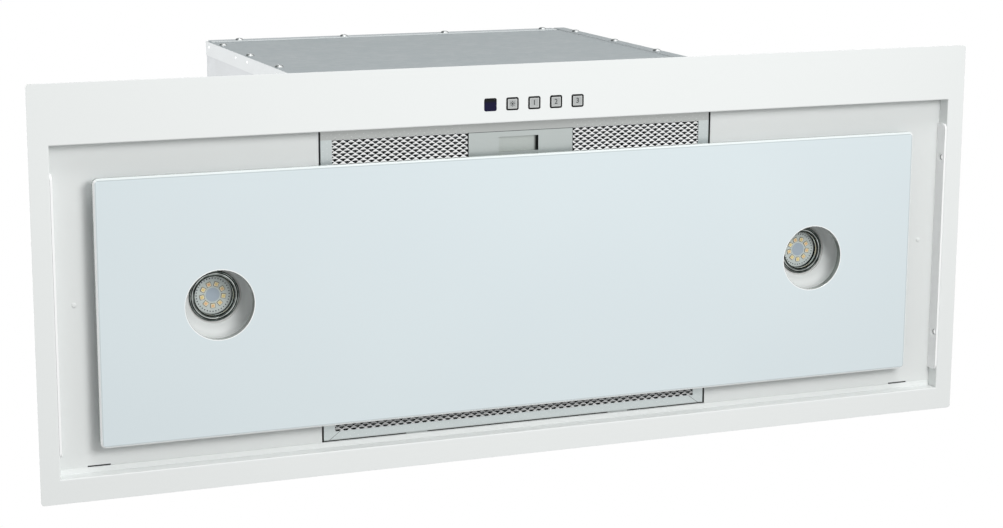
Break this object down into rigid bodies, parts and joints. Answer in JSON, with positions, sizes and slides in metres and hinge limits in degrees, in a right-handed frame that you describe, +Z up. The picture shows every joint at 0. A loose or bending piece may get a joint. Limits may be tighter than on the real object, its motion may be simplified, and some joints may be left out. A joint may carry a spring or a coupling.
{
  "type": "ceiling range hood",
  "caption": "Built-in range hood: wide shallow fascia with a hinged pale glass panel, round lamp openings, push keys and a grease filter, below a box-shaped motor housing with a duct collar.",
  "frame": {"origin": "centre of the plane in which the fascia's flange seats against the cabinet or ceiling", "axes": "+X along the fascia to the cook's right, +Y from the cook towards the wall, +Z up through the motor housing"},
  "size_m": [0.9, 0.36, 0.4348],
  "materials": {
    "white_paint": "satin powder coat",
    "galvanised": "galvanised sheet",
    "zinc_steel": "zinc plated",
    "aluminium": "satin",
    "white_glass": "back-painted toughened glass, polished",
    "foam_tape": "matte",
    "magnet": "matte",
    "chrome_trim": "polished",
    "lens_board": "gloss",
    "led_chip": "gloss",
    "lamp_casting": "matte cast",
    "black_plastic": "matte",
    "grey_plastic": "matte",
    "white_plastic": "matte",
    "dark_window": "gloss",
    "grey_keys": "satin",
    "circuit_board": "solder mask",
    "motor_casing": "painted"
  },
  "bodies": {
    "hood": {"cable_gland": "black_plastic", "capacitor": "white_plastic", "carrier_plate": "white_paint", "catch_magnets": "magnet", "compartment_wall": "galvanised", "control_module": "grey_plastic", "damper_pins": "zinc_steel", "fascia_frame": "white_paint", "filter_back_mesh": "aluminium", "filter_frame": "aluminium", "filter_handle_plate": "aluminium", "filter_mesh": "aluminium", "filter_pack": "aluminium", "filter_seat": "galvanised", "floor_rivets": "white_paint", "hinge_brackets": "zinc_steel", "hinge_pins": "zinc_steel", "housing_front_panel": "galvanised", "housing_screws": "zinc_steel", "housing_top_panel": "galvanised", "housing_wrapper": "galvanised", "keypad_board": "circuit_board", "keypad_housing": "black_plastic", "lamp_body_left": "lamp_casting", "lamp_body_right": "lamp_casting", "lamp_cup_left": "white_paint", "lamp_cup_right": "white_paint", "lamp_ring_left": "chrome_trim", "lamp_ring_right": "chrome_trim", "lamp_socket_left": "black_plastic", "lamp_socket_right": "black_plastic", "led_board_left": "lens_board", "led_board_right": "lens_board", "led_chips_left": "led_chip", "led_chips_right": "led_chip", "motor": "motor_casing", "motor_bracket": "galvanised", "outlet_collar": "black_plastic", "scroll_half_left": "grey_plastic", "scroll_half_right": "grey_plastic", "sensor_window": "dark_window", "side_plate_left": "white_paint", "side_plate_right": "white_paint"},
    "glass_door": {"glass_panel": "white_glass", "bonding_tape": "foam_tape", "panel_tray": "galvanised", "hinge_arms": "zinc_steel"},
    "filter_latch": {"filter_pull": "aluminium"},
    "key_light": {"button_light": "grey_keys"},
    "key_speed_1": {"button_speed_1": "grey_keys"},
    "key_speed_2": {"button_speed_2": "grey_keys"},
    "key_speed_3": {"button_speed_3": "grey_keys"},
    "fan": {"impeller": "black_plastic", "motor_shaft": "zinc_steel"},
    "front_flap": {"damper_flap_front": "black_plastic"},
    "rear_flap": {"damper_flap_rear": "black_plastic"}
  },
  "joints": [
    {"name": "panel_hinge", "type": "hinge", "parent": "hood", "child": "glass_door", "pos_m": [0, 0.131, 0.008], "axis": [1, 0, 0], "range_deg": [0, 85]},
    {"name": "filter_latch_slide", "type": "slide", "parent": "hood", "child": "filter_latch", "axis": [0, 1, 0], "range_m": [0, 0.004], "stiffness_N_per_m": 500, "springref_m": -0.004},
    {"name": "light_key_press", "type": "slide", "parent": "hood", "child": "key_light", "axis": [0, 0, 1], "range_m": [0, 0.001], "stiffness_N_per_m": 800, "springref_m": -0.001},
    {"name": "speed_1_key_press", "type": "slide", "parent": "hood", "child": "key_speed_1", "axis": [0, 0, 1], "range_m": [0, 0.001], "stiffness_N_per_m": 800, "springref_m": -0.001},
    {"name": "speed_2_key_press", "type": "slide", "parent": "hood", "child": "key_speed_2", "axis": [0, 0, 1], "range_m": [0, 0.001], "stiffness_N_per_m": 800, "springref_m": -0.001},
    {"name": "speed_3_key_press", "type": "slide", "parent": "hood", "child": "key_speed_3", "axis": [0, 0, 1], "range_m": [0, 0.001], "stiffness_N_per_m": 800, "springref_m": -0.001},
    {"name": "fan_spin", "type": "hinge", "parent": "hood", "child": "fan", "pos_m": [-0.0062, -0.0259, 0.19], "axis": [1, 0, 0], "continuous": true},
    {"name": "front_flap_hinge", "type": "hinge", "parent": "hood", "child": "front_flap", "pos_m": [-0.0062, 0.0351, 0.38], "axis": [-1, 0, 0], "range_deg": [0, 80]},
    {"name": "rear_flap_hinge", "type": "hinge", "parent": "hood", "child": "rear_flap", "pos_m": [-0.0062, 0.0411, 0.38], "axis": [1, 0, 0], "range_deg": [0, 80]}
  ]
}
